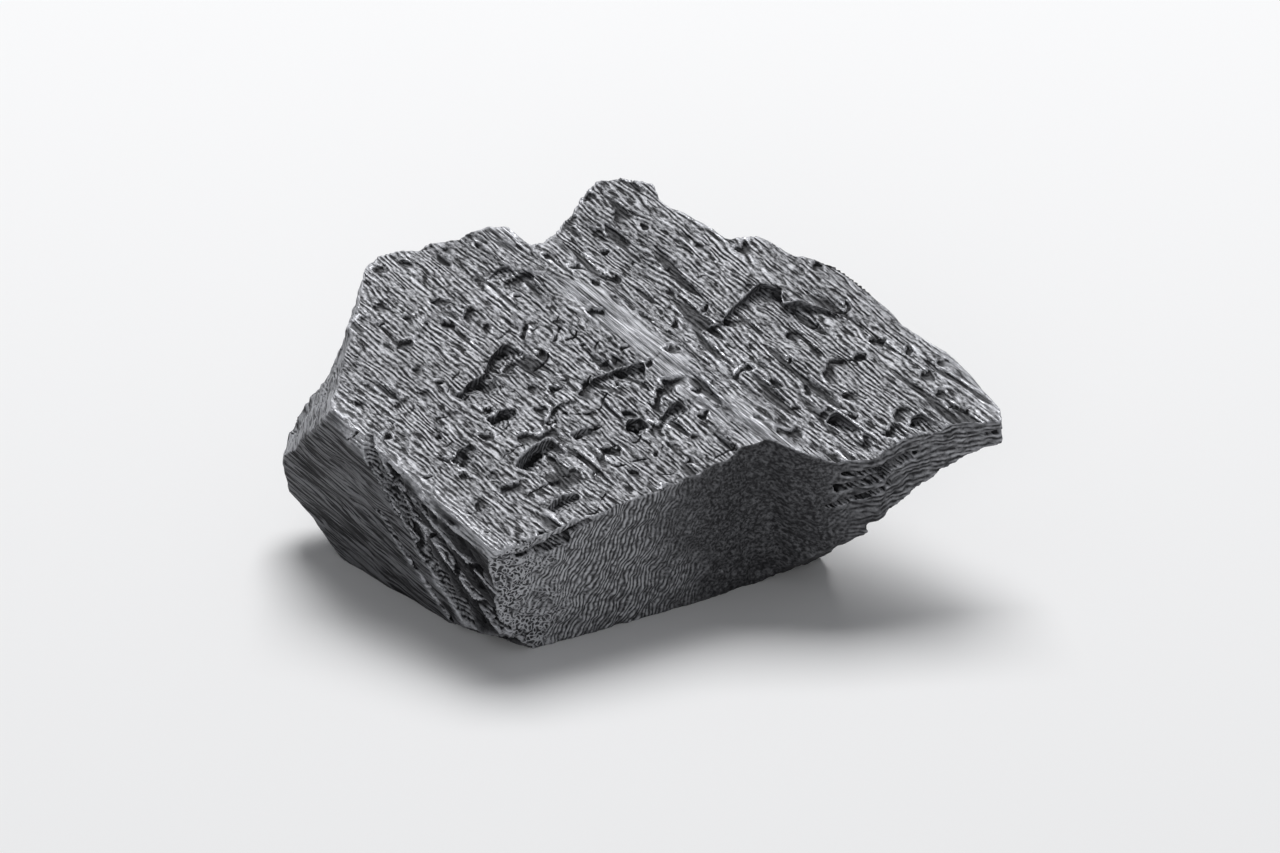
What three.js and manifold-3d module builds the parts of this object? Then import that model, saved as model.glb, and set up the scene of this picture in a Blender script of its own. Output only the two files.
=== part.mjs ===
// One lump of hardwood charcoal, split and broken from a charred branch, lying on its flat broken underside.
//
// Charred wood parts in two ways. Along the grain it splits, which leaves long faces parallel to the
// fibres, and across the grain it snaps, which leaves short end-grain faces. So the lump is the
// common volume of two prisms: its outline seen from above, and its section seen along the grain.
// Half-spaces then take off the oblique breaks, and small wedges take the chips out of its surface.
//
// Grain frame, in millimetres: x across the grain, y along the grain towards the back end, z out of
// the top face, with the origin at the front left corner of the top face. The part's own frame has
// +Z up and its origin on the ground under the middle of the lump.

import * as THREE from "three";
import { mergeVertices } from "three/addons/utils/BufferGeometryUtils.js";
import Module from "manifold-3d";

// ---- driving dimensions, in millimetres and degrees ----
const CORNER_HEIGHT = 21.5; // front left corner of the top face above the ground
const TOP_SLOPE = 18.7; // the top face falls this much towards the front
const GRAIN_TURN = 41.1; // the grain turns this much from straight front to back, seen from above
const DEEP = 70; // deeper than the lump, for prisms that run right through it
const FAR = 400; // edge of the block that stands for a half-space
const CLEAR = 9; // height that a cutter needs to stand clear above the top face
const BREAKTHROUGH = 2; // how far a cutter stands out of a side face

// The outline seen square to the top face, anticlockwise from the front left corner.
const FRONT_BREAK = [
  [0, 0], [4, -1.6], [10.7, -3.1], [18.3, -4.8], [38, -8.2], [47.2, -9.2], [50.4, -11.3], [51.4, -14.5],
];
const LEAF_FRONT = [
  [54, -18.8], [57.5, -21.5], [62.3, -24.9], [68, -25.4], [72, -27], [78, -29.6], [82.8, -33.2],
];
const RIGHT_SPLIT = [[84.5, -30.8], [86.2, -26.5], [87.6, -14.3], [86.6, -5], [87.4, 0.5], [89.4, 10.8]];
const BACK_BREAK = [
  [88.6, 13.4], [83.6, 18.6], [81.5, 25.6], [77.2, 28.8], [76.2, 35.6], [75, 43.5], [76.2, 46.9],
  [73.6, 52.2], [69.9, 54], [64.4, 52.6], [56.8, 49.8], [53.3, 48.2], [51, 49.2], [50.8, 55.2],
  [45.8, 59.6], [38.7, 62], [32, 65], [27.6, 65.2],
];
const LEFT_BACK_BREAK = [[24, 61.9], [16.4, 55.7], [9, 55.3], [6.3, 60.2], [3, 58.6], [0, 56.2]];

// The back break is plainer in the lower body.
const LOWER_BODY = -10; // top of the lower body
const OVERLAP = 0.5; // how far the lower body runs up into the upper one
const LOWER_BACK_BREAK = [[87, 13], [81, 31], [74, 46], [62, 54], [44, 60], [29, 64]];

// The section seen along the grain from the front, anticlockwise from the foot of the left face.
const SECTION = [
  [0.6, -DEEP], [95, -DEEP], [95, -6],
  // rounded right edge, leaf, groove, rib, sunken middle and left edge
  [90.5, -5], [88.6, -1.4], [85, 0.1], [76, 0.9], [68, 0.2], [61.5, -0.9], [57.4, -1.1], [54.2, 0.7],
  [51.6, 1.2], [48.6, 0.4], [43, -0.8], [30, -0.6], [16, 0.2], [6, 0.2], [1.6, -0.1],
  // left split face
  [0, -1.6], [-0.2, -8], [-0.6, -15], [-0.3, -22],
];
const FRONT_LEAN = 0.12; // the front break comes forward this much for every millimetre down

// Flakes that came off the top face. Each left a steep wall across the grain at its back and a floor
// that climbs to the surface towards the front. wall is the left end of the wall, turn is its heading,
// and bow is how far the middle of the wall stands back.
const FLAKES = [
  { wall: [19, 31.2], width: 8.4, length: 10, depth: 1.8, turn: 6, bow: 0.4 },
  { wall: [26.4, 32.6], width: 8, length: 9, depth: 2.6, turn: 22, bow: 0.6 },
  { wall: [16, 12.1], width: 9.2, length: 9.2, depth: 2.6, turn: 10, bow: 0.9 },
  { wall: [19.6, 23.6], width: 5.2, length: 5.5, depth: 1.5, turn: -14, bow: 0.8 },
  { wall: [26.2, 16.4], width: 7.5, length: 5, depth: 1.2, turn: 11, bow: 1.4 },
  { wall: [27.8, 11.8], width: 3.8, length: 7, depth: 2, turn: -12, bow: 0.6 },
  { wall: [35.6, 7.2], width: 4, length: 5, depth: 2.9, turn: 14, bow: 1 },
  { wall: [41.6, 5.6], width: 4.6, length: 5.4, depth: 1.8, turn: 2, bow: 0.6 },
  { wall: [38.8, 19.6], width: 9.2, length: 8.5, depth: 1.7, turn: -20, bow: 0.7 },
  { wall: [34, 24.4], width: 6, length: 6, depth: 0.9, turn: -8, bow: 0.5 },
  { wall: [40.8, 49.2], width: 5.2, length: 6.5, depth: 1.5, turn: 0, bow: 0.8 },
  { wall: [40.2, 44.4], width: 3.6, length: 3.5, depth: 1, turn: -12, bow: 0.3 },
  { wall: [22.6, 45.6], width: 7.2, length: 4.5, depth: 0.8, turn: 24, bow: 0.2 },
  { wall: [24.8, 50.2], width: 4, length: 3.5, depth: 0.7, turn: 25, bow: 0.3 },
  { wall: [13.8, 1.4], width: 6.2, length: 4.4, depth: 1.3, turn: -6, bow: 0.8 },
  { wall: [9, 20], width: 4.6, length: 6, depth: 0.8, turn: 8, bow: 0.4 },
  { wall: [58.2, 26], width: 5.5, length: 12, depth: 1.1, turn: 10, bow: 0.8 },
  { wall: [61.8, -13], width: 2.6, length: 14, depth: 2.6, turn: 6, bow: 0.6 },
  { wall: [70.4, -24], width: 3.6, length: 7, depth: 1, turn: 16, bow: 0.9 },
];
// Points of a wall between its right and left ends, as shares of its width and of its bow.
const WALL_POINTS = [[0.55, 1], [0.2, 0.33]];
const TAPER = 0.22; // a flake narrows by this share of its width on each side towards the front
const FLOOR_END = 1.3; // the floor climbs to this much above the top face at the front

// The leaf has lost a wide flake inside this outline.
const WIDE_FLAKE = [
  [60.8, 16.4], [60.6, 4], [62.6, -6], [72, -7], [80, -3.5], [79.4, 0.5], [78.6, 5.4], [76.6, 9.2],
  [74, 11.2], [76.2, 14], [74.2, 17.4], [69, 16.8], [64, 15.2],
];
const WIDE_FLAKE_DEPTH = 1.3; // at its back wall
const WIDE_FLAKE_LENGTH = 25; // from the back wall to where its floor meets the top face

// Slots that run inwards along the grain from a front edge: layers gaping at the front of the leaf, and
// a scar that undercuts the front edge of the top face. front is the left end of the mouth's middle.
const SLOTS = [
  { front: [3.2, -4, -1.4], width: 7, depth: 5, gape: 1.8, turn: -9, roll: -9 },
  { front: [7.4, -4.6, -2.6], width: 6.4, depth: 6, gape: 3.6, turn: -9, roll: 4 },
  { front: [12.6, -5.2, -1.6], width: 5, depth: 4, gape: 1.7, turn: -9, roll: 12 },
  { front: [57, -27, -3.6], width: 13, depth: 10, gape: 1.2, turn: -8, roll: 3 },
  { front: [55.6, -25, -6.6], width: 14, depth: 11, gape: 2.2, turn: -12, roll: 13 },
  { front: [54.6, -24, -10.4], width: 11, depth: 8, gape: 1.3, turn: -14, roll: 17 },
  { front: [76, -33, -2.8], width: 8, depth: 6, gape: 0.9, turn: -16, roll: 8 },
];

// Furrows where the left face has split open. from and to are (y, z) on that face. The steep side of a
// furrow is the lower one, and rise is how far above its bottom line the gentle side meets the face.
const FURROWS = [
  { from: [34, 0.4], to: [2, -26], depth: 3.2, rise: 3.4 },
  { from: [25, -4], to: [-3, -17], depth: 2, rise: 2.2 },
  { from: [30, 0], to: [-4, -9.5], depth: 1.4, rise: 1.2 },
  { from: [29, -12.5], to: [6, -27], depth: 2.2, rise: 1.2 },
];
const STEEP_SIDE = 0.5; // how far below its bottom line a furrow's steep side meets the face

// Oblique breaks. Material is gone where it lies beyond all the planes of a break, each given by a
// point on it and its normal.
const BREAKS = {
  nose_bevel: [[[0, 41, -0.4], [-0.571, 0.68, 0.459]]],
  nose_underside: [[[0, 39.5, -32], [-0.16, 0.34, -0.93]]],
  front_right_foot: [[[39, -12.5, -28.2], [-0.153, -0.79, -0.594]]],
  leaf_underside: [[[60, -20, -15.5], [0.447, 0, -0.894]], [[60.4, -20, -20], [0.98, 0.1, 0.12]]],
  tip_bevel: [[[85.4, -30, -1], [0.66, -0.12, 0.5]]],
  front_left_foot: [[[0, 0, -18.5], [-0.75, -0.35, -0.56]]],
};

// Breaks of the hidden back, given in the lying frame with the front left corner over the origin.
const BACK_BREAKS = [
  [[20, 84, 49], [-0.1, 0.96, -0.24]],
  [[47.5, 73.2, 46], [0.5, 0.82, -0.28]],
  [[-24, 62, 24], [-0.52, 0.8, -0.3]],
];

// ---- solids ----
const wasm = await Module();
wasm.setup();

// A closed three.js geometry as a solid that can be joined and cut.
function solidOf(geometry) {
  geometry.deleteAttribute("normal");
  geometry.deleteAttribute("uv");
  const merged = mergeVertices(geometry, 1e-4);
  return new wasm.Manifold(
    new wasm.Mesh({
      numProp: 3,
      vertProperties: merged.attributes.position.array,
      triVerts: new Uint32Array(merged.index.array),
    }),
  );
}

// A solid back as a three.js geometry with flat faces.
function geometryOf(solid) {
  const mesh = solid.getMesh();
  const indexed = new THREE.BufferGeometry();
  indexed.setAttribute("position", new THREE.BufferAttribute(mesh.vertProperties, 3));
  indexed.setIndex(new THREE.BufferAttribute(mesh.triVerts, 1));
  const flat = indexed.toNonIndexed();
  flat.computeVertexNormals();
  return flat;
}

function prism(points, depth, matrix) {
  const shape = new THREE.Shape(points.map(([u, v]) => new THREE.Vector2(u, v)));
  const geometry = new THREE.ExtrudeGeometry(shape, { depth, bevelEnabled: false, steps: 1 });
  return solidOf(geometry.applyMatrix4(matrix));
}

// Everything on the side of the plane that its normal points to.
function beyond(point, normal) {
  const out = new THREE.Vector3(...normal).normalize();
  const turn = new THREE.Quaternion().setFromUnitVectors(new THREE.Vector3(0, 0, 1), out);
  const centre = new THREE.Vector3(...point).addScaledVector(out, FAR / 2);
  const place = new THREE.Matrix4().makeRotationFromQuaternion(turn).setPosition(centre);
  return solidOf(new THREE.BoxGeometry(FAR, FAR, FAR).applyMatrix4(place));
}

const radians = THREE.MathUtils.degToRad;

// Drawn in (x, y), extruded up z from the given height.
const upFrom = (height) => new THREE.Matrix4().makeTranslation(0, 0, height);

// Drawn in (x, z), extruded along y from the given place towards the front.
const alongGrainFrom = (y) => new THREE.Matrix4().makeRotationX(Math.PI / 2).setPosition(0, y, 0);

// Drawn in (y, z), extruded along x.
const acrossGrain = () =>
  new THREE.Matrix4().makeBasis(
    new THREE.Vector3(0, 1, 0),
    new THREE.Vector3(0, 0, 1),
    new THREE.Vector3(1, 0, 0),
  );

const turned = (degrees, x, y, z) => new THREE.Matrix4().makeRotationZ(radians(degrees)).setPosition(x, y, z);

// ---- the lump, in the grain frame ----
// The outline with the given back break, from one height up to another.
function leaningBlock(backBreak, bottom, top) {
  const outline = [...FRONT_BREAK, ...LEAF_FRONT, ...RIGHT_SPLIT, ...backBreak, ...LEFT_BACK_BREAK];
  const lean = new THREE.Matrix4().makeShear(0, 0, 0, 0, 0, FRONT_LEAN);
  return prism(outline, top - bottom, lean.multiply(upFrom(bottom)));
}

function splitBlock() {
  const upper = leaningBlock(BACK_BREAK, LOWER_BODY, CLEAR);
  const lower = leaningBlock(LOWER_BACK_BREAK, -DEEP, LOWER_BODY + OVERLAP);
  const seenAlongGrain = prism(SECTION, FAR, alongGrainFrom(FAR / 2));
  return upper.add(lower).intersect(seenAlongGrain);
}

// Leans a solid's floor: it rises by rise for every millimetre towards the front.
const leaning = (rise) => new THREE.Matrix4().makeShear(0, 0, 0, -rise, 0, 0);

function flake({ wall, width, length, depth, turn, bow }) {
  const wallPoints = WALL_POINTS.map(([across, back]) => [across * width, back * bow]);
  const outline = [
    [(1 - TAPER) * width, -length], [width, 0], ...wallPoints, [0, 0], [TAPER * width, -length],
  ];
  const place = turned(turn, wall[0], wall[1], -depth).multiply(leaning((depth + FLOOR_END) / length));
  return prism(outline, CLEAR, place);
}

function wideFlake() {
  const backWall = WIDE_FLAKE[0][1];
  const toWall = new THREE.Matrix4().makeTranslation(0, -backWall, 0);
  const place = new THREE.Matrix4()
    .makeTranslation(0, backWall, -WIDE_FLAKE_DEPTH)
    .multiply(leaning((WIDE_FLAKE_DEPTH + FLOOR_END) / WIDE_FLAKE_LENGTH))
    .multiply(toWall);
  return prism(WIDE_FLAKE, CLEAR, place);
}

function slot({ front, width, depth, gape, turn, roll }) {
  const wedge = [[0, -gape / 2], [depth, 0], [0, gape / 2]];
  const place = turned(turn, ...front)
    .multiply(new THREE.Matrix4().makeRotationY(radians(-roll)))
    .multiply(acrossGrain());
  return prism(wedge, width, place);
}

function furrow({ from, to, depth, rise }) {
  const start = new THREE.Vector3(0, ...from);
  const along = new THREE.Vector3(0, ...to).sub(start);
  const length = along.length();
  along.normalize();
  const inwards = new THREE.Vector3(1, 0, 0);
  const down = new THREE.Vector3().crossVectors(inwards, along);
  const place = new THREE.Matrix4().makeBasis(down, inwards, along).setPosition(start);
  const open = 1 + BREAKTHROUGH / depth;
  const section = [[-rise * open, -BREAKTHROUGH], [STEEP_SIDE * open, -BREAKTHROUGH], [0, depth]];
  return prism(section, length, place);
}

function grainSolid() {
  let lump = splitBlock();
  for (const planes of Object.values(BREAKS)) {
    const gone = planes.map(([point, normal]) => beyond(point, normal)).reduce((a, b) => a.intersect(b));
    lump = lump.subtract(gone);
  }
  lump = lump.subtract(wideFlake());
  for (const dimensions of FLAKES) lump = lump.subtract(flake(dimensions));
  for (const dimensions of SLOTS) lump = lump.subtract(slot(dimensions));
  for (const dimensions of FURROWS) lump = lump.subtract(furrow(dimensions));
  return lump;
}

// ---- the lump as it lies ----
function lyingSolid() {
  const lie = new THREE.Matrix4()
    .makeRotationX(radians(TOP_SLOPE))
    .multiply(new THREE.Matrix4().makeRotationZ(radians(GRAIN_TURN)))
    .setPosition(0, 0, CORNER_HEIGHT);
  let lump = grainSolid().transform(lie.elements);
  for (const [point, normal] of BACK_BREAKS) lump = lump.subtract(beyond(point, normal));
  lump = lump.subtract(beyond([0, 0, 0], [0, 0, -1]));
  const { min, max } = lump.boundingBox();
  return lump.translate([-(min[0] + max[0]) / 2, -(min[1] + max[1]) / 2, 0]);
}

const charcoal = new THREE.MeshStandardMaterial({ color: 0x2b2b30, roughness: 0.55, metalness: 0.1 });
const lump = new THREE.Mesh(geometryOf(lyingSolid()), charcoal);
lump.name = "charcoal_lump";

const part = new THREE.Group();
part.add(lump);

export default part;
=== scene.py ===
"""A lump of hardwood charcoal lying on a pale studio floor.

The lump is one piece. Its mesh starts as the frame's solid, remeshed finely, and fields over space then
give it what charred wood has: rows of fibres along the grain, chips and cracks across it, splinters where
it snapped, and a fine maze of ridges on the snapped ends. The fields that the mesh and the material share
are written once, so that the shading follows the shape.

Grain frame, in millimetres: x across the grain, y along the grain towards the back end, z out of the top
face, with the origin at the front left corner of the top face. Meshes are in metres.
"""

import bmesh
import bpy
import numpy as np
from mathutils import Matrix, Vector


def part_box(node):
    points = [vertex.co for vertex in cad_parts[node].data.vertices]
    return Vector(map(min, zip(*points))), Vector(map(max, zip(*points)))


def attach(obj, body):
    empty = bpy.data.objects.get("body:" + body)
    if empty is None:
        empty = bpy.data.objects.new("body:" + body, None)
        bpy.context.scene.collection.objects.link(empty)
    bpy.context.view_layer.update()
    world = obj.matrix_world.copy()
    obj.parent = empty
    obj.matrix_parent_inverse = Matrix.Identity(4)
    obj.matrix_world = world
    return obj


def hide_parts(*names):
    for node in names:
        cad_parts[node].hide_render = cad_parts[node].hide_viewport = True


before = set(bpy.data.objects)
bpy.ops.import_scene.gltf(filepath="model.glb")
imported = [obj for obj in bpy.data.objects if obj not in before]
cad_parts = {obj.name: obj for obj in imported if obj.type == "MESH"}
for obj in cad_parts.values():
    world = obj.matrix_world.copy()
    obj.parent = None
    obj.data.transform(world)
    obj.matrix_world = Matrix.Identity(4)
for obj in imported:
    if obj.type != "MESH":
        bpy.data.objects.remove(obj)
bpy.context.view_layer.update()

NODE = "charcoal_lump"
MM = 0.001
TURN = 2 * np.pi

# ---- the grain frame, as in the CAD model ----
TOP_SLOPE = np.radians(18.7)  # the top face falls this much towards the front
GRAIN_TURN = np.radians(41.1)  # the grain turns this much from straight front to back, seen from above
CORNER = (35.43, -0.38, 21.5)  # the grain frame's origin: in from the box's left, in from its front, up

# ---- the mesh ----
VOXEL = 0.24 * MM  # grid of the fine remesh
TRIANGLES = 194_000  # kept after thinning
ON_GROUND = 0.15  # mm; what starts this near the ground lies flat on it

# ---- the wood, in mm ----
ROW = 0.92  # from one row of fibres to the next
SLANT = np.sqrt(0.5)  # rows are sheets slanted like this, so they show on the top and on the left face
END_ROW = 0.72  # from one ridge to the next on the snapped ends
LAYER = 1.0  # from one layer of the leaf to the next
CRACK_ROW = 4.6  # from one place where a crack may run to the next, along the grain
SEED_SHIFT = np.array([17.31, 31.73, 5.97])  # moves the noise lattice for each seed

# ---- where its features are, in mm; a pair is where a change starts and where it is complete ----
FRONT = (12, 4)  # y, from the body to the snapped front
PLAIN = (24, 40)  # x, from the front's ridged left part to its plain part
LEAF = (54, 60)  # x, from the plain part to the leaf's end
RIB_LEFT = (46.6, 49)  # x, up the rib's left flank
RIB_RIGHT = (52.4, 54.2)  # x, down the rib's right flank
TIP = (79, 86)  # x, to the leaf's smooth tip
LEDGE = -10  # z of the ledge on the back
CHIPPED = (33, 11)  # x and y of the middle of the crowded chips
CRACKED = (33, 14)  # x and y of the middle of the crowded cracks
TEAR_START = np.array([34, 0.4])  # y and z of the back end of the left face's longest tear
TEAR_HEADING = np.array([-0.771, -0.636])  # the tear's direction in y and z


# ---- noise, the same in numpy as in the material's Noise nodes ----
# each step of the hash: the word that changes, the word that changes it, and by how many bits that is turned
MIXING = (
    ("c", "b", 14), ("a", "c", 11), ("b", "a", 25), ("c", "b", 16),
    ("a", "c", 4), ("b", "a", 14), ("c", "b", 24),
)


def hashed(x, y, z):
    """Jenkins' final mix of three whole numbers: each word is xored with another and loses its rotation."""
    start = np.uint32(0xDEADBEEF + (3 << 2) + 13)  # the hash's own start value for three words
    word = {"a": x + start, "b": y + start, "c": z + start}
    for to, by, turn in MIXING:
        word[to] ^= word[by]
        word[to] -= (word[by] << np.uint32(turn)) | (word[by] >> np.uint32(32 - turn))
    return word["c"]


def slope(cell, x, y, z):
    """The height at (x, y, z) from a lattice point, on the gradient that its hash picks: a sum or difference
    of two of the coordinates."""
    h = hashed(*cell) & 15
    u = np.where(h < 8, x, y)
    v = np.where(h < 4, y, np.where((h == 12) | (h == 14), x, z))
    return np.where(h & 1, -u, u) + np.where(h & 2, -v, v)


def perlin(q):
    """Perlin noise: the slopes from the eight lattice points around, weighted by 6t^5 - 15t^4 + 10t^3."""
    cell = np.floor(q)
    t = q - cell
    cell = cell.astype(np.int64).astype(np.uint32)
    ease = t * t * t * (t * (t * 6 - 15) + 10)
    total = np.zeros(len(q))
    for corner in np.ndindex(2, 2, 2):
        weight = np.prod(np.where(corner, ease, 1 - ease), axis=1)
        total += weight * slope((cell + np.array(corner, np.uint32)).T, *(t - corner).T)
    return 0.982 * total


def step(start, end, value):
    """0 up to start, 1 from end on, and the smooth step 3t^2 - 2t^3 between them; end may be the lower."""
    t = np.clip((value - start) / (end - start), 0, 1)
    return t * t * (3 - 2 * t)


class Points:
    """An array of points in the grain frame, and the maths that the shared fields use on it."""

    sine = staticmethod(np.sin)
    step = staticmethod(step)

    def __init__(self, points):
        self.points = points
        self.x, self.y, self.z = points.T

    def noise(self, size, seed):
        """Noise with cells of the given size (x, y, z)."""
        return perlin(self.points / np.asarray(size, float) + seed * SEED_SHIFT)


# ---- fields that the mesh and the material share; m is a Points or a Nodes ----
def rows(m):
    """Rows of fibres, -1 in a furrow and 1 on a ridge: the sine of a phase that makes one turn every ROW
    across the split faces. Slow noise drifts it, so that the rows wander, fork and end."""
    drift = m.noise((9, 44, 9), 1) * 1.3 + m.noise((3.4, 15, 3.4), 2) * 0.55
    drift = drift + m.noise((1.6, 4.2, 1.6), 3) * 0.42
    return m.sine(((m.x + m.z) * SLANT + drift) * (TURN / (ROW * SLANT)))


def gaps(m):
    """1 in the short dark gaps where a bundle of fibres is missing."""
    return m.step(0.26, 0.42, m.noise((0.62, 2.8, 0.62), 5))


def fibre_height(m):
    """Height of the split faces' fibres: rows that come and go along their length, less the gaps."""
    strength = m.step(-0.22, 0.18, m.noise((1.1, 3.2, 1.1), 4)) * 0.72 + 0.28
    return rows(m) * strength - gaps(m) * 1.1


def cracks(m):
    """1 in the short shrinkage cracks across the grain: a sine along y, pushed about by noise that is slow
    in y so that no crack closes on itself, and kept only where another noise is high."""
    along = m.y + m.noise((5.5, 40, 5.5), 6) * 3.4 + m.noise((1.7, 20, 1.7), 12) * 0.5
    line = m.step(0.95, 0.997, m.sine(along * (TURN / CRACK_ROW)))
    crowd = m.step(26, 16, abs(m.x - CRACKED[0])) * m.step(28, 16, abs(m.y - CRACKED[1]))
    return line * crowd * m.step(0.2, 0.3, m.noise((3.6, 4.4, 3.6), 7))


def on_leaf(m):
    """1 on the leaf's front end."""
    return m.step(*LEAF, m.x) * m.step(*FRONT, m.y)


def plain_end(m):
    """1 where the front is nearly smooth, between its ridged left part and the leaf."""
    from_left = m.step(*PLAIN, m.x + m.noise((7, 12, 7), 15) * 6)
    return from_left * (1 - m.step(*LEAF, m.x)) * m.step(*FRONT, m.y)


def end_height(m):
    """Height of a snapped end, 0 to 1: a maze of ridges on the left that turns into fine wavy lines, and
    on the leaf the edges of its layers."""
    maze = 1 - m.step(0.05, 0.3, abs(m.noise((0.62, 3, 0.62), 8)))
    wander = m.noise((5, 12, 5), 9) * 1.2 + m.noise((1.7, 6, 1.7), 10) * 0.36
    broken = m.step(-0.3, 0.2, m.noise((0.8, 4, 0.8), 13)) * 0.6 + 0.4
    lines = (m.sine((m.x * 0.85 - m.z * 0.5 + wander) * (TURN / END_ROW)) * 0.5 + 0.5) * broken
    towards_right = m.step(4, 13, m.x + m.noise((6, 12, 6), 11) * 8)
    layers = m.sine((m.z + wander * 0.9) * (TURN / LAYER)) * 0.34 * broken
    layers = layers + m.noise((1.4, 3, 0.5), 14) * 0.5 + 0.3
    leaf = on_leaf(m)
    fine = maze * (1 - towards_right) + lines * towards_right
    return fine * (1 - leaf) + layers * leaf


# ---- fields of the mesh only, in mm ----
def layered(m, size, seed):
    """Noise, plus half as much noise with cells half as large."""
    size = np.asarray(size, float)
    return m.noise(size, seed) + 0.5 * m.noise(size / 2, seed + 1)


def splinters(m):
    """How far each bundle of fibres stands out along the grain where the wood snapped."""
    return m.noise((2.6, 17, 2.6), 21) * 0.9 + m.noise((1.2, 9, 1.2), 22) * 0.55


def chips(m):
    """How deep small flakes have come away, 0 to 1: a saw over y that rises to a steep back wall, kept only
    where noise is high. They crowd in the middle of the front half."""
    crowd = np.exp(-(((m.x - CHIPPED[0]) / 17) ** 2) - ((m.y - CHIPPED[1]) / 17) ** 2)
    saw = (m.y + 3.2 * m.noise((3.2, 16, 3.2), 23) + 1.2 * m.noise((1.3, 5, 1.3), 24)) / 5.2
    rise = (saw - np.floor(saw)) ** 2
    kept = step(0.26 - 0.2 * crowd, 0.36 - 0.2 * crowd, m.noise((3.1, 4.4, 3.1), 25))
    return kept * rise


def streaks(m):
    """How deep long slivers have been torn out, 0 to 1: noise drawn out along the grain. Most are beside the
    rib, and none are at the left edge."""
    beside_rib = step(53, 57, m.x) * (1 - step(63, 68, m.x))
    open_to = 0.3 - 0.17 * beside_rib
    return step(5, 12, m.x) * step(open_to, open_to + 0.16, m.noise((1.9, 12, 1.9), 26))


def left_side(m, normals):
    """1 on the left face."""
    return step(0.6, 0.85, -normals[:, 0]) * step(26, 16, m.x)


def torn_side(m, normals):
    """1 where the left face has torn open in front of its smooth part, and how deep the tear is, 0 to 1:
    noise drawn out along the tear. The tear's back edge is a line in (y, z)."""
    from_start = m.points[:, 1:] - TEAR_START
    along = from_start @ TEAR_HEADING
    across = from_start @ np.array([TEAR_HEADING[1], -TEAR_HEADING[0]])
    inside = step(-0.6, 1.2, across + 0.9 * m.noise((2.4, 6, 2.4), 28))
    upper_wall = step(9, 15, across - 0.16 * along)
    below_edge = step(-0.2, -2, m.z)
    where = inside * (1 - 0.75 * upper_wall) * below_edge * left_side(m, normals)
    q = Points(np.column_stack([across, along, m.x]))
    slivers = 0.55 + 1.1 * q.noise((2.3, 26, 9), 29) + 0.6 * q.noise((1.0, 13, 9), 30)
    return where, where * np.clip(slivers, 0, 1)


def end_grain(m, normals):
    """1 on faces that snapped across the grain, 0 on faces that split along it. The whole front counts as
    snapped, with the facets that turn from it to the leaf."""
    across = step(0.74, 0.88, np.abs(normals[:, 1]))
    front = step(30, 38, m.x) * step(12, 5, m.y) * step(0.66, 0.46, normals[:, 2])
    return np.maximum(across, front)


def nose(normals):
    """1 on the bevel at the back of the left face."""
    return step(0.2, 0.45, normals[:, 1]) * step(0.3, 0.5, -normals[:, 0]) * step(-0.2, 0.1, normals[:, 2])


def walls(m, normals):
    """1 on the faces below the top, apart from the left face and the nose."""
    return step(0.45, 0.1, normals[:, 2]) * (1 - left_side(m, normals)) * (1 - nose(normals))


def polish(m, normals):
    """1 where the fibres are closed and smooth: the rib, the bevelled nose, the tip and the left face."""
    band = step(*RIB_LEFT, m.x) * (1 - step(*RIB_RIGHT, m.x)) * step(0.3, 0.6, normals[:, 2])
    rib = band * step(-0.5, 0, m.noise((5, 14, 5), 27))
    tip = step(*TIP, m.x - 0.25 * (m.y + 30))
    return np.clip(rib + nose(normals) + tip + left_side(m, normals), 0, 1)


# ---- the lump ----
def grain_matrix():
    """Takes a point in the grain frame, in metres, to the row frame."""
    low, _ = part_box(NODE)
    corner = Vector((low.x + CORNER[0] * MM, low.y + CORNER[1] * MM, CORNER[2] * MM))
    turn = Matrix.Rotation(TOP_SLOPE, 4, "X") @ Matrix.Rotation(GRAIN_TURN, 4, "Z")
    return Matrix.Translation(corner) @ turn


GRAIN = grain_matrix()
AXES = np.array(GRAIN)[:3, :3]
ORIGIN = np.array(GRAIN)[:3, 3]


def to_grain(points):
    """Row frame in metres to grain frame in millimetres."""
    return (points - ORIGIN) @ AXES / MM


def to_row(points):
    """Grain frame in millimetres to row frame in metres."""
    return points * MM @ AXES.T + ORIGIN


def read(collection, name, kind=np.float64, width=3):
    flat = np.empty(len(collection) * width, kind)
    collection.foreach_get(name, flat)
    return flat.reshape(-1, width)


def put(mesh, points):
    mesh.vertices.foreach_set("co", points.ravel())
    mesh.update()


def normals_of(mesh):
    """Vertex normals in the grain frame."""
    return read(mesh.vertex_normals, "vector") @ AXES


def upward(normals):
    """How far normals in the grain frame point up from the ground, -1 to 1."""
    return (normals @ AXES.T)[:, 2]


def store(mesh, name, values):
    attribute = mesh.attributes.new(name, "FLOAT", "POINT")
    attribute.data.foreach_set("value", values.astype(np.float32))


def apply_modifier(piece, kind, **settings):
    modifier = piece.modifiers.new(kind.title(), kind)
    for name, value in settings.items():
        setattr(modifier, name, value)
    evaluated = piece.evaluated_get(bpy.context.evaluated_depsgraph_get())
    mesh = bpy.data.meshes.new_from_object(evaluated)
    piece.modifiers.clear()
    piece.data = mesh
    return mesh


def fine_solid():
    """The frame's solid as a new piece, on a fine even grid."""
    piece = bpy.data.objects.new("charred_lump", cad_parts[NODE].data.copy())
    bpy.context.scene.collection.objects.link(piece)
    apply_modifier(piece, "WELD", merge_threshold=0.001 * MM)
    apply_modifier(piece, "REMESH", mode="VOXEL", voxel_size=VOXEL)
    return piece


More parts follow.
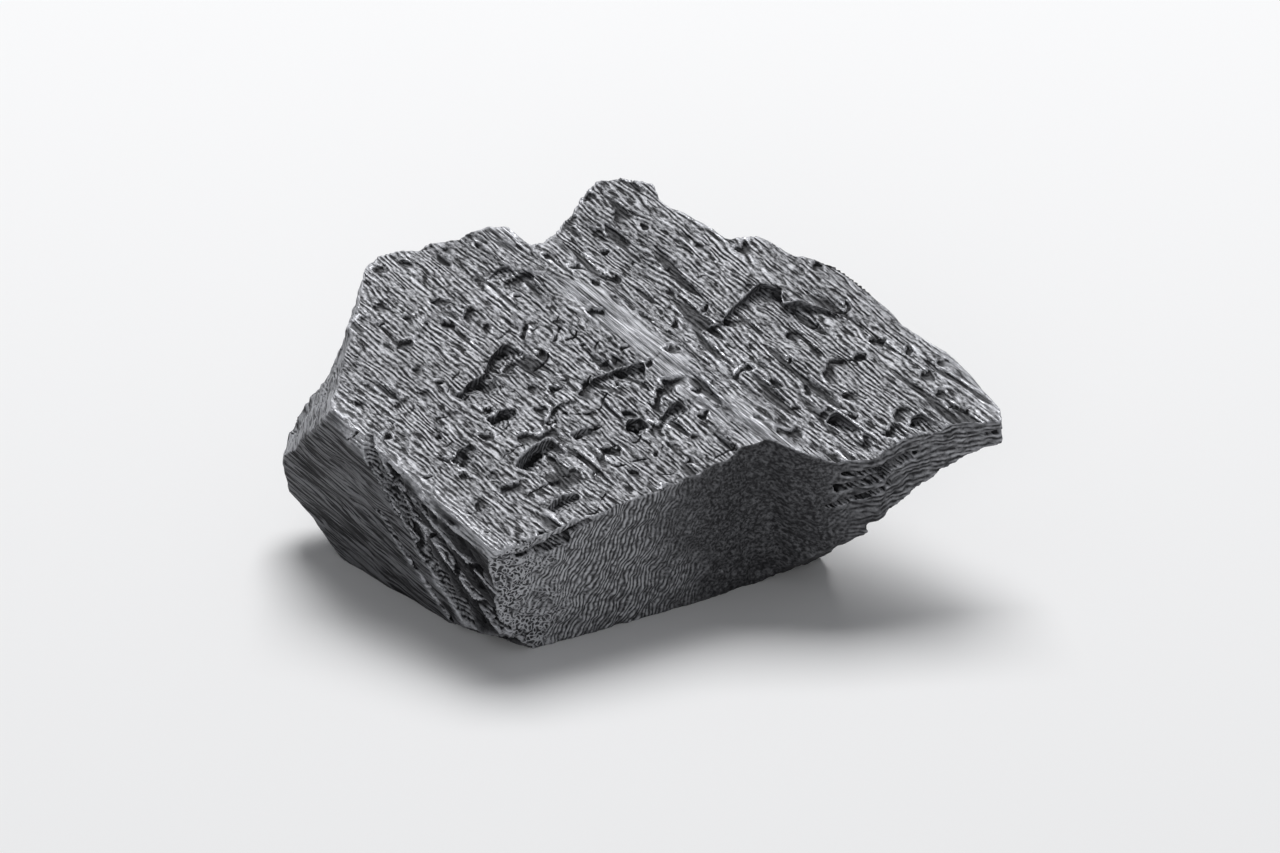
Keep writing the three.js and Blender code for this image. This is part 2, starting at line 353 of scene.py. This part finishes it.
def warped(points):
    """The solid's points pushed about so that no edge stays straight. Along the grain each bundle of
    fibres moves on its own, more at the back, where the wood tore, than at the front. The back's ledge
    rises and falls from side to side."""
    m = Points(points)
    torn = 0.5 + 0.25 * step(30, 60, m.y)
    across = 0.4 * layered(m, (3.2, 9, 3.2), 31)
    ledge = step(28, 40, m.y) * step(9, 3, abs(m.z - LEDGE))
    out = 0.4 * layered(m, (3.2, 9, 3.2), 34) + 2.2 * ledge * layered(m, (7, 30, 30), 37)
    return points + np.column_stack([across, torn * splinters(m), out])


def broad_relief(m, normals, split):
    """Height over the plain solid of everything wider than a row of fibres, and how hollow it is there.
    The material paints that dark as shade, and the torn part of the left face as well.
    """
    from_above = step(0.5, 0.8, normals[:, 2])
    undulation = 0.45 * layered(m, (11, 30, 11), 41) + 0.16 * m.noise((2.3, 11, 2.3), 44)
    hollow = np.maximum(chips(m), 0.5 * streaks(m)) * split * from_above
    torn, tear = torn_side(m, normals)
    high = undulation * (0.4 + 0.6 * split) - 0.95 * hollow - 2.2 * tear
    # Painted shade over the torn part of the left face, beyond the tear's own depth.
    torn_shade = 0.55 * np.minimum(1, 3 * torn)
    return high, np.maximum(hollow, np.maximum(tear, torn_shade))


def fine_relief(m, split, smooth):
    """Height of the rows, gaps and cracks on split faces, and of the ridges on snapped ends."""
    calm = 1 - 0.85 * smooth
    along = 0.06 * fibre_height(m) * calm - 0.35 * cracks(m) * calm
    lumpy = 0.25 * layered(m, (3.5, 6, 3.5), 46) * plain_end(m)
    across = 0.11 * (end_height(m) - 0.5) * (1 - plain_end(m)) + lumpy
    return split * along + (1 - split) * across


def bend(mesh, rounds):
    """How convex the mesh is at each vertex, in mm: how far the mean of its neighbours lies below it along
    the normal, averaged over the neighbours that many times."""
    ends = read(mesh.edges, "vertices", np.int32, 2)
    first, second = ends.T
    count = np.bincount(ends.ravel(), minlength=len(mesh.vertices))

    def mean_of_neighbours(values):
        total = np.bincount(first, values[second], len(count))
        total += np.bincount(second, values[first], len(count))
        return total / count

    points = read(mesh.vertices, "co") / MM
    normals = read(mesh.vertex_normals, "vector")
    mean = np.column_stack([mean_of_neighbours(points[:, axis]) for axis in range(3)])
    convex = np.sum((points - mean) * normals, axis=1)
    for _ in range(rounds):
        convex = mean_of_neighbours(convex)
    return convex


def drop_crumbs(mesh):
    """Deletes all that isn't joined to the largest piece. Labels spread along the edges, each vertex taking
    the lowest label around it, until none changes; then each piece has one label."""
    first, second = read(mesh.edges, "vertices", np.int32, 2).T
    label = np.arange(len(mesh.vertices))
    settled = False
    while not settled:
        around = np.minimum(label[first], label[second])
        lower = label.copy()
        np.minimum.at(lower, first, around)
        np.minimum.at(lower, second, around)
        lower = lower[lower]
        settled = np.array_equal(lower, label)
        label = lower
    crumbs = np.flatnonzero(label != np.bincount(label).argmax())
    work = bmesh.new()
    work.from_mesh(mesh)
    work.verts.ensure_lookup_table()
    bmesh.ops.delete(work, geom=[work.verts[i] for i in crumbs], context="VERTS")
    work.to_mesh(mesh)
    work.free()


def charred_lump():
    """The whole lump: the fine solid, warped, then given its broad relief and its fine relief, each along
    the normals. What the material needs to know about a place is stored as attributes."""
    piece = fine_solid()
    mesh = piece.data
    start = read(mesh.vertices, "co")
    put(mesh, to_row(warped(to_grain(start))))
    normals = normals_of(mesh)
    m = Points(to_grain(read(mesh.vertices, "co")))
    split = 1 - end_grain(m, normals)
    broad, hollow = broad_relief(m, normals, split)
    put(mesh, to_row(m.points + normals * broad[:, None]))
    edges = bend(mesh, 2)

    m = Points(to_grain(read(mesh.vertices, "co")))
    smooth = polish(m, normals)
    masks = {
        "end_grain": 1 - split,
        # the hollows, which the material paints dark as shade
        "hollow": hollow,
        "polish": smooth,
        # convexity, by which the material paints highlights on edges and shade in corners
        "bend": edges,
        "side": left_side(m, normals),
        "wall": walls(m, normals),
        # faces turned down, which the material paints dark as shade
        "under": step(-0.1, -0.5, upward(normals)),
        "nose": nose(normals),
    }
    for name, values in masks.items():
        store(mesh, name, values)

    normals = normals_of(mesh)
    downward = step(-0.2, -0.8, upward(normals))
    fine = fine_relief(m, split, smooth) * (1 - 0.7 * downward)
    points = to_row(m.points + normals * fine[:, None])
    flat = start[:, 2] < ON_GROUND * MM
    points[:, 2] = np.where(flat, 0, np.maximum(points[:, 2], 0))
    put(mesh, points)
    mesh = apply_modifier(piece, "DECIMATE", ratio=TRIANGLES / (2 * len(mesh.polygons)))
    drop_crumbs(mesh)
    mesh.polygons.foreach_set("use_smooth", np.ones(len(mesh.polygons), bool))
    return piece


# ---- shader maths ----
class Sock:
    """A node socket that can be used in Python expressions: each operator adds a Math node."""

    def __init__(self, nodes, socket):
        self.nodes = nodes
        self.socket = socket

    def math(self, operation, *others):
        return self.nodes.add("Math", {"operation": operation}, self, *others)

    def __add__(self, other):
        return self.math("ADD", other)

    __radd__ = __add__

    def __mul__(self, other):
        return self.math("MULTIPLY", other)

    __rmul__ = __mul__

    def __sub__(self, other):
        return self.math("SUBTRACT", other)

    def __rsub__(self, other):
        return self.nodes.add("Math", {"operation": "SUBTRACT"}, other, self)

    def __abs__(self):
        return self.math("ABSOLUTE")


class Nodes:
    """Adds nodes to one material, and gives the shared fields their maths over the grain frame."""

    def __init__(self, material):
        material.use_nodes = True
        self.tree = material.node_tree
        self.tree.nodes.clear()
        place = self.add("TexCoord", {}, out="Object")
        settings = {"vector_type": "TEXTURE"}
        self.grain = self.add(
            "Mapping", settings, place, GRAIN.to_translation(), GRAIN.to_euler(), Vector((MM, MM, MM))
        )
        self.x, self.y, self.z = (self.add("SeparateXYZ", {}, self.grain, out=axis) for axis in "XYZ")

    def add(self, kind, settings, *values, out=0, **named):
        """A ShaderNode of that kind, its settings made first, then the values or links of its sockets."""
        node = self.tree.nodes.new("ShaderNode" + kind)
        for name, value in settings.items():
            setattr(node, name, value)
        pairs = list(zip(node.inputs, values)) + [(node.inputs[name], value) for name, value in named.items()]
        for socket, value in pairs:
            self.fill(socket, value)
        return Sock(self, node.outputs[out]) if node.outputs else None

    def fill(self, socket, value):
        """Links the socket where the value is a Sock, and sets it otherwise."""
        if isinstance(value, Sock):
            self.tree.links.new(value.socket, socket)
        else:
            socket.default_value = value

    def attribute(self, name):
        return self.add("Attribute", {"attribute_name": name}, out="Fac")

    def sine(self, value):
        return value.math("SINE")

    def step(self, start, end, value):
        """The same smooth step as the function step gives."""
        return self.add("MapRange", {"interpolation_type": "SMOOTHSTEP"}, value, start, end)

    def scaled(self, size, seed):
        """The grain frame in cells of that size, moved to the seed's own part of the lattice."""
        shift = Vector(seed * SEED_SHIFT)
        return self.add("Mapping", {}, self.grain, Location=shift, Scale=Vector([1 / s for s in size]))

    def noise(self, size, seed):
        """The same noise as Points gives."""
        return self.add("TexNoise", {"normalize": False}, Vector=self.scaled(size, seed), Scale=1, Detail=0)

    def grit(self, size, seed, detail=3):
        """Noise in 0..1 with finer octaves."""
        return self.add("TexNoise", {}, Vector=self.scaled(size, seed), Scale=1, Detail=detail, Roughness=0.6)

    def blend(self, factor, a, b):
        """Colour a where factor is 0, colour b where it is 1."""
        settings = {"data_type": "RGBA"}
        mixed = self.add("Mix", settings, factor, out=2)
        colours = mixed.socket.node.inputs[6:8]
        for socket, value in zip(colours, (a, b)):
            self.fill(socket, value)
        return mixed


# ---- the finish ----
PAINTED_SHADE_BLACK = (0.006, 0.006, 0.008, 1)  # furrows, chips and cracks: the char's black with their shade painted in
GRAPHITE = (0.50, 0.506, 0.535, 1)  # the ridges of the split faces
END_PAINTED_SHADE_BLACK = (0.008, 0.008, 0.010, 1)  # the pores of the snapped ends: the char's black with their shade painted in
END_GREY = (0.46, 0.465, 0.49, 1)  # the ridges of the snapped ends
GRIT_DEPTH = 0.13 * MM  # of the bump
EDGE_HIGHLIGHT_BEND = (0.008, 0.028)  # mm of bend, over which a convex edge is painted light as a highlight
SHADED = (-0.010, -0.034)  # mm of bend, over which a concave corner is painted dark as shade
NOSE_LINES = np.radians(50)  # the lines on the nose's bevel turn this much from the grain
NOSE_CELL = 2.2  # cells to the mm across those lines


def streaked(n):
    """Fine noise drawn out along the grain, and on the nose along lines of its own."""
    nose = n.attribute("nose")
    cells = Vector((NOSE_CELL, NOSE_CELL, NOSE_CELL))
    turned = n.add("Mapping", {}, n.grain, Rotation=Vector((0, 0, NOSE_LINES)), Scale=cells)
    squeezed = n.add("Mapping", {}, turned, Scale=Vector((1, 0.08, 1)))
    nose_lines = n.add("TexNoise", {}, Vector=squeezed, Scale=1, Detail=3, Roughness=0.6)
    return n.grit((0.45, 11, 0.45), 54) * (1 - nose) + nose_lines * nose


def split_height(n, smooth, rough, crack, side, wall):
    """Height of the split faces at their finest: rows of fibres and grit where the wood is rough, streaks
    where it is polished. The rows are fainter on the walls, the streaks stronger on the left face."""
    grain = n.grit((0.36, 0.95, 0.36), 52)
    texture = (grain - 0.5) * rough * 2.2 + (streaked(n) - 0.5) * smooth * (side * 5.5 + 2.6)
    lift = smooth * (1 - side) * 0.16
    return fibre_height(n) * rough * (0.45 - wall * 0.2) + texture - crack * 0.9 + lift


def end_ridges(n):
    """How far the ridges of the snapped ends stand out, 0 to 1, with pores among them. The plain part of the
    front has faint pores only."""
    pores = n.grit((0.5, 0.9, 0.5), 53)
    plain = plain_end(n)
    ridges = n.step(-0.15, 0.95, end_height(n) * 0.85 + (pores - 0.5) * 0.8)
    return ridges * (1 - plain) + plain * n.step(0.35, 0.75, pores) * 0.32


def split_strength(n, side, wall):
    """How much of their grey the split faces keep: less on the left face, least in the walls' blotches."""
    blotches = n.step(0.42, 0.6, n.grit((7, 24, 7), 55))
    return 1 - side * 0.64 - wall * (0.25 + blotches * 0.4)


def end_strength(n):
    """How much of their grey the snapped ends keep: most at the front's left and at the leaf's tip, less
    where the leaf starts, least at the back."""
    # The front's left part is painted lighter: partly the paler grey of its own ends, partly painted light
    # standing in for the shade over the front's right.
    left_part = n.step(26, 4, n.x) * n.step(*FRONT, n.y)
    leaf_shade = on_leaf(n) * (0.38 - n.step(62, 78, n.x) * 0.46)
    back_shade = n.step(8, 20, n.y) * 0.62
    return (1 - leaf_shade) * (1 - back_shade) + left_part * 0.4


def charred_wood():
    """Black char with a blue cast: a graphite sheen on the split faces' ridges, matt and porous on the
    snapped ends. Shade is painted dark into its furrows, pores, cracks, hollows, concave corners and
    underside, and highlights are painted light along its convex edges and the top's left rim."""
    material = bpy.data.materials.new("charred_wood")
    n = Nodes(material)
    ends = n.attribute("end_grain")
    smooth = n.attribute("polish")
    edge = n.attribute("bend")
    side = n.attribute("side")
    wall = n.attribute("wall")

    rough = 1 - smooth * 0.85
    crack = cracks(n) * rough
    fibre = split_height(n, smooth, rough, crack, side, wall)
    end_ridge = end_ridges(n)
    height = fibre * (1 - ends) + end_ridge * ends * 0.9
    bump = n.add("Bump", {}, Strength=0.9, Distance=GRIT_DEPTH, Height=height)

    # The furrows between the ridges are painted dark as their shade.
    ridge = n.step(-0.5, 0.55, fibre)
    # Convex edges are painted light as highlights.
    edge_highlight = n.step(*EDGE_HIGHLIGHT_BEND, edge) * 0.65
    # The top's left rim is painted light as a highlight.
    left_rim_highlight = n.step(5.5, 0.5, n.x) * n.step(-1.8, -0.6, n.z) * 0.34
    patchy = 0.62 + n.grit((9, 20, 9), 51, detail=4) * 0.7
    # Hollows are painted dark as shade.
    hollow_shade = 1 - n.step(0.08, 0.6, n.attribute("hollow")) * 0.85
    # Concave corners and the faces turned down are painted dark as shade.
    shaded = n.step(*SHADED, edge) * 0.75
    unshaded = (1 - shaded) * (1 - n.attribute("under") * 0.5)

    # Cracks are painted dark as shade.
    kept = patchy * hollow_shade * (1 - crack * 0.7) * split_strength(n, side, wall) * unshaded
    tone = (ridge + edge_highlight + left_rim_highlight) * kept
    end_tone = (end_ridge * end_strength(n) + edge_highlight * 0.5) * patchy * unshaded
    colour = n.blend(ends, n.blend(tone, PAINTED_SHADE_BLACK, GRAPHITE), n.blend(end_tone, END_PAINTED_SHADE_BLACK, END_GREY))
    surface = n.add(
        "BsdfPrincipled",
        {},
        Roughness=(0.76 - tone * 0.32) * (1 - ends) + ends * 0.78,
        Metallic=tone * (1 - ends) * 0.45,
        Normal=bump,
        **{"Base Color": colour, "Specular IOR Level": 0.4},
    )
    n.add("OutputMaterial", {}, surface)
    return material


# ---- the studio ----
FLOOR_HALF = 4.0  # m, half the floor's side, far larger than the view
PAPER = (0.86, 0.86, 0.865, 1)
SKY = (0.95, 0.97, 1.0, 1)
SKY_STRENGTH = 0.2
CAMERA_HEIGHT = np.radians(27)  # above the ground, seen from the lump
CAMERA_DISTANCE = 1.1
CAMERA_LENS = 185  # mm
CAMERA_LOWERED = 0.002  # m, the camera's aim below the middle of the lump


def plain_floor():
    """A pale floor."""
    mesh = bpy.data.meshes.new("studio_floor")
    corners = [(x * FLOOR_HALF, y * FLOOR_HALF, 0) for x, y in ((-1, -1), (1, -1), (1, 1), (-1, 1))]
    mesh.from_pydata(corners, [], [(0, 1, 2, 3)])
    floor = bpy.data.objects.new("studio_floor", mesh)
    bpy.context.scene.collection.objects.link(floor)
    material = bpy.data.materials.new("pale_paper")
    material.use_nodes = True
    shader = material.node_tree.nodes["Principled BSDF"]
    shader.inputs["Base Color"].default_value = PAPER
    shader.inputs["Roughness"].default_value = 0.9
    shader.inputs["Specular IOR Level"].default_value = 0.1
    mesh.materials.append(material)


def softbox(name, direction, distance, size, power, aim):
    """A square area light, that far from aim along direction, facing it."""
    light = bpy.data.lights.new(name, "AREA")
    light.shape = "SQUARE"
    light.size = size
    light.energy = power
    lamp = bpy.data.objects.new(name, light)
    away = Vector(direction).normalized()
    lamp.location = aim + away * distance
    lamp.rotation_euler = away.to_track_quat("Z", "Y").to_euler()
    bpy.context.scene.collection.objects.link(lamp)


def camera(aim, elevation, distance, lens):
    """Looks along +Y and down on aim."""
    data = bpy.data.cameras.new("camera")
    data.lens = lens
    data.sensor_width = 36
    view = bpy.data.objects.new("camera", data)
    back = Vector((0, -np.cos(elevation), np.sin(elevation)))
    view.location = aim + back * distance
    view.rotation_euler = back.to_track_quat("Z", "Y").to_euler()
    bpy.context.scene.collection.objects.link(view)
    bpy.context.scene.camera = view


def studio():
    """A large soft key from above and behind, a faint fill from the front, and a dim pale sky."""
    low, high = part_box(NODE)
    middle = (low + high) / 2
    plain_floor()
    softbox("key", direction=(0.0, 0.48, 0.88), distance=1.6, size=0.95, power=25, aim=middle)
    softbox("fill", direction=(-0.1, -0.9, 0.36), distance=1.4, size=0.6, power=3.0, aim=middle)
    world = bpy.data.worlds.new("studio_air")
    world.use_nodes = True
    background = world.node_tree.nodes["Background"]
    background.inputs["Color"].default_value = SKY
    background.inputs["Strength"].default_value = SKY_STRENGTH
    bpy.context.scene.world = world
    bpy.context.scene.view_settings.view_transform = "Standard"
    aim = middle - Vector((0, 0, CAMERA_LOWERED))
    camera(aim, CAMERA_HEIGHT, CAMERA_DISTANCE, CAMERA_LENS)


lump = charred_lump()
lump.data.materials.clear()
lump.data.materials.append(charred_wood())
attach(lump, "root")
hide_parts(NODE)
studio()
